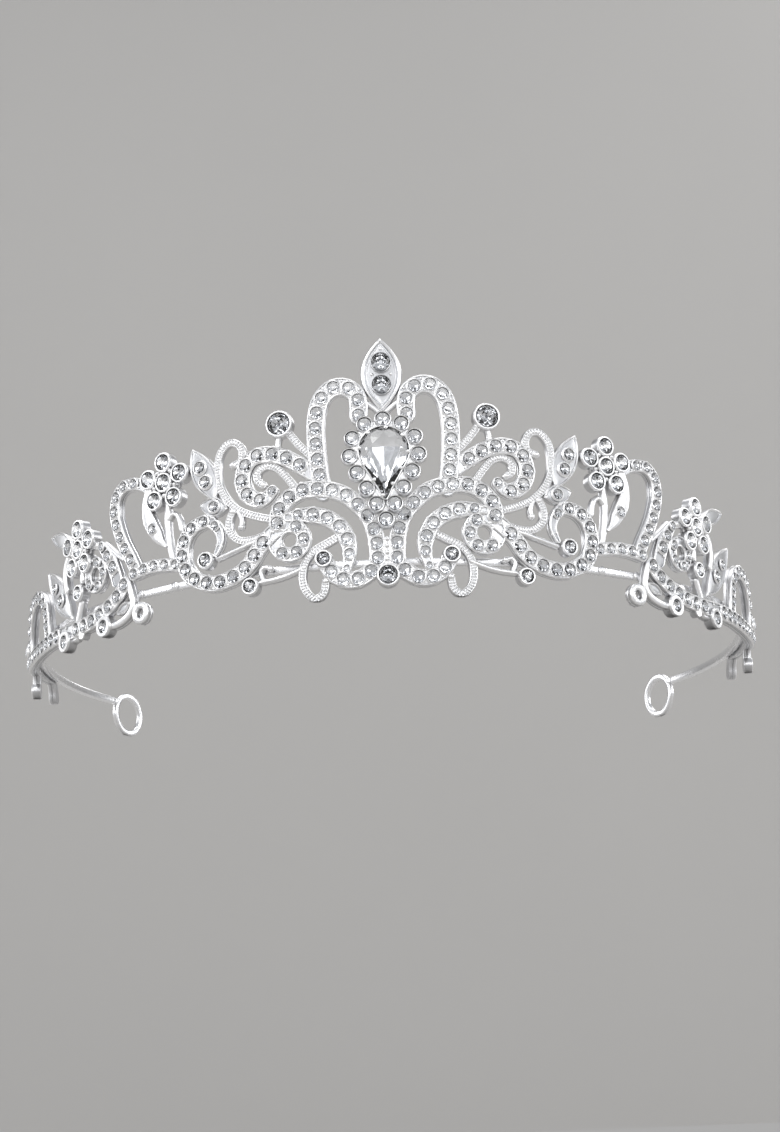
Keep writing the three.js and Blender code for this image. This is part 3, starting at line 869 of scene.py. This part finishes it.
def makePearStone():
    shape = bmesh.new()
    pearRing(shape, -2.5, 10, 0.5, pear["tableHeight"])
    pearRing(shape, -1.2, 10, 0, pear["girdle"] + 1.25)
    pearRing(shape, 0.0, 20, 0, pear["girdle"] + 0.15)
    pearRing(shape, 0.0, 20, 0, pear["girdle"] - 0.1)
    pearRing(shape, -1.9, 14, 0.5, pear["pavilion"] + 0.6)
    for y in (21.5, 28.6):
        shape.verts.new((0, y, pear["pavilion"]))
    facets(shape, pear["girdle"] + 0.02)
    makePiece("pear_crystal", shape, [pearCrystal, pearFoil], ["pear_stone"],
              smooth=False)
    print("pear stone ready")


shoulder = {
    "flower": ("flower_one", (48.2, 27.5)),
    "plain": [
        ([(52.6, 26.4), (53.4, 23.4), (52.7, 20.4), (51.1, 17.6), (49.9, 15.6), (48.4, 14.2)],
         [2, 2.2, 3.4, 2.8, 0.8]),
    ],
    "pave": [
        ([(45.8, 9.7), (47.5, 10), (51, 10.4), (54.5, 10.3), (57.2, 9.9)], [2.8]),
        ([(51.6, 26), (53.4, 27.7), (56.6, 29), (60, 29), (62.2, 27), (62.7, 23.6), (61.7, 20),
          (60.1, 16.5), (58.1, 13.2), (56.6, 10.4)], [2.4, 3.1, 3.1]),
    ],
    "wires": [
        ([(47.9, 22.4), (48.1, 18.5), (47.7, 14.8), (46.9, 11.4)], 1.5, 0),
        ([(47.6, 19.8), (46.8, 20.7), (45.7, 20.4), (44.9, 19), (44.5, 17)], 1.2, 0),
    ],
    "collars": [((51.5, 18.2), 1.0)],
}


def makeShoulder(side):
    casting = Casting()
    end = "right" if side > 0 else "left"
    drawFlower(casting, *shoulder["flower"], side)
    drawSide(casting, shoulder, side)
    makePiece(f"shoulder_scrollwork_{end}", casting.metal, castSilver,
              [f"shoulder_casting_{end}"])
    makePiece(f"shoulder_pave_stones_{end}", casting.stones, [clearCrystal, stoneFoil],
              smooth=False)


tail = {
    "flower": ("flower_two", (75.4, 19)),
    "pave": [
        ([(60.2, 8.1), (61.6, 6.6), (65, 4.6), (69, 3.1), (73, 2.4), (78, 2.2), (83, 2.4),
          (88, 2.6), (95, 2.6), (103, 2.6), (111, 3), (119, 3.8), (127, 4.5), (135, 5.1),
          (143, 5.6)], [3.5, 3.5, 3.5, 3.5, 3.5, 2.6, 2]),
        ([(62.4, 9.6), (62.8, 11), (64.6, 14.4), (67.2, 17.8)], [3.4, 3.4, 2.2]),
        ([(92.5, 3.4), (92.8, 7.2), (94, 11), (97, 13.5), (101.6, 14.4), (106.4, 13.2),
          (109.5, 10.3), (110.6, 6.8), (110.2, 3.4)], [3.1]),
    ],
    "plain": [
        ([(79.2, 19.6), (81.6, 17.2), (82.3, 14.4), (81.6, 11.6)], [2]),
        ([(143, 5.6), (144.2, 3.6), (144.6, 1.6)], [2, 2.4]),
        ([(127.8, 4.4), (128.2, 2.4), (128.2, 0)], [1.8]),
        ([(58.9, 8.2), (58.1, 5.8), (57.8, 3.2), (59.6, 1.2), (62.6, 0.2), (65, 0.2)], [1.5]),
    ],
    "beaded": [
        [(66.6, 17.6), (69.6, 18.6), (72, 19)],
        [(113.2, 3.4), (116, 6), (119, 8.2), (120.2, 7.7)],
    ],
    "wires": [
        ([(60.8, 13.8), (62.8, 15.3), (66.4, 18.2)], 1.2, 0),
        ([(75.4, 14.5), (75.3, 12.4)], 1.8, 0),
        ([(75.9, 7.6), (77, 5.2), (78.2, 2.6)], 1.8, 0),
        ([(122.5, 6.4), (123.4, 5.6), (124.4, 4.2)], 1.2, 0),
        ([(76.2, 2), (77.6, 0.4), (80.4, 0.2)], 1.2, 0),
    ],
    "leaves": [
        ((78.6, 21), (89.4, 25), 1.8, []),
        ((79, 4.6), (91.5, 17.8), 3, [((84.0, 9.9), 1.1), ((87.0, 13.1), 0.9)]),
        ((58.4, 4.2), (62.8, 2.2), 1.2, []),
    ],
    "rings": [((55.6, 1.3), 2.4, 0.9)],
    "paveRings": [((69.6, 12.2), 3.9, 1.5)],
    "stones": {
        "drop_stone_front": ((66.4, 0.4), 1.25),
        "drop_stone_back": ((82, 0.4), 1.25),
        "stalk_stone": ((75.6, 9.6), 1.25),
        "tail_stone": ((121.5, 7.2), 1.25),
    },
    "seatEdges": {"drop_stone_front": 2.3, "drop_stone_back": 2.3},
}


def makeTail(side):
    casting = Casting()
    end = "right" if side > 0 else "left"
    drawFlower(casting, *tail["flower"], side)
    drawSide(casting, tail, side)
    casting.disc((side * 75.2, 0.6), 1.1, 1.8)
    casting.disc((side * 128.2, -0.1), 1.75, 1.95)
    makePiece(f"tail_scrollwork_{end}", casting.metal, castSilver,
              [f"tail_casting_{end}"])
    makePiece(f"tail_pave_stones_{end}", casting.stones, [clearCrystal, stoneFoil],
              smooth=False)


band = {
    "halfLength": 170.5, "height": 1.6, "level": 5.8,
    "solder": [2.1, 7.9, 17, 30.6, 40.8, 47.6, 57.2, 62.4, 76.4, 92.7, 110.4, 124, 143],
    "ringRadius": 4.4, "ringWire": 1.4, "ringCentre": (176.1, 3.15), "tangLength": 1.9,
}


def makeBand():
    casting = Casting()
    ends = [(band["halfLength"] * (i / 20 - 1), band["level"]) for i in range(41)]
    sweep(casting.metal, Line(ends), widthAlong([band["height"]]), sections["band"], step=1.5,
          roundEnds=False)
    for x in band["solder"]:
        for side in (1, -1):
            casting.bead(Vector((side * x, band["level"], 0)), 1.05, -0.2, squash=0.38)
    makePiece("headband_wire", casting.metal, [bandSilver], ["headband"])
    for side in (1, -1):
        end = "right" if side > 0 else "left"
        ring = Casting()
        x, y = band["ringCentre"]
        circle = [(side * x + band["ringRadius"] * math.cos(math.tau * i / 16),
                   y + band["ringRadius"] * math.sin(math.tau * i / 16)) for i in range(16)]
        sweep(ring.metal, Line(circle, closed=True), widthAlong([band["ringWire"]]),
              sections["endRing"], step=0.7)
        start = side * (band["halfLength"] + 0.3)
        tang = [(start + side * band["tangLength"] * i / 3, band["level"]) for i in range(4)]
        sweep(ring.metal, Line(tang), widthAlong([1.5]), sections["band"], roundEnds=False)
        makePiece(f"end_ring_loop_{end}", ring.metal, [bandSilver],
                  [f"end_ring_{end}"])
    print("band ready")


makeCentreCasting()
makePearSetting()
makePearStone()
for side in (1, -1):
    makeShoulder(side)
    makeTail(side)
print("shoulders and tails ready")
makeBand()
for template in templates.values():
    bpy.data.meshes.remove(template)
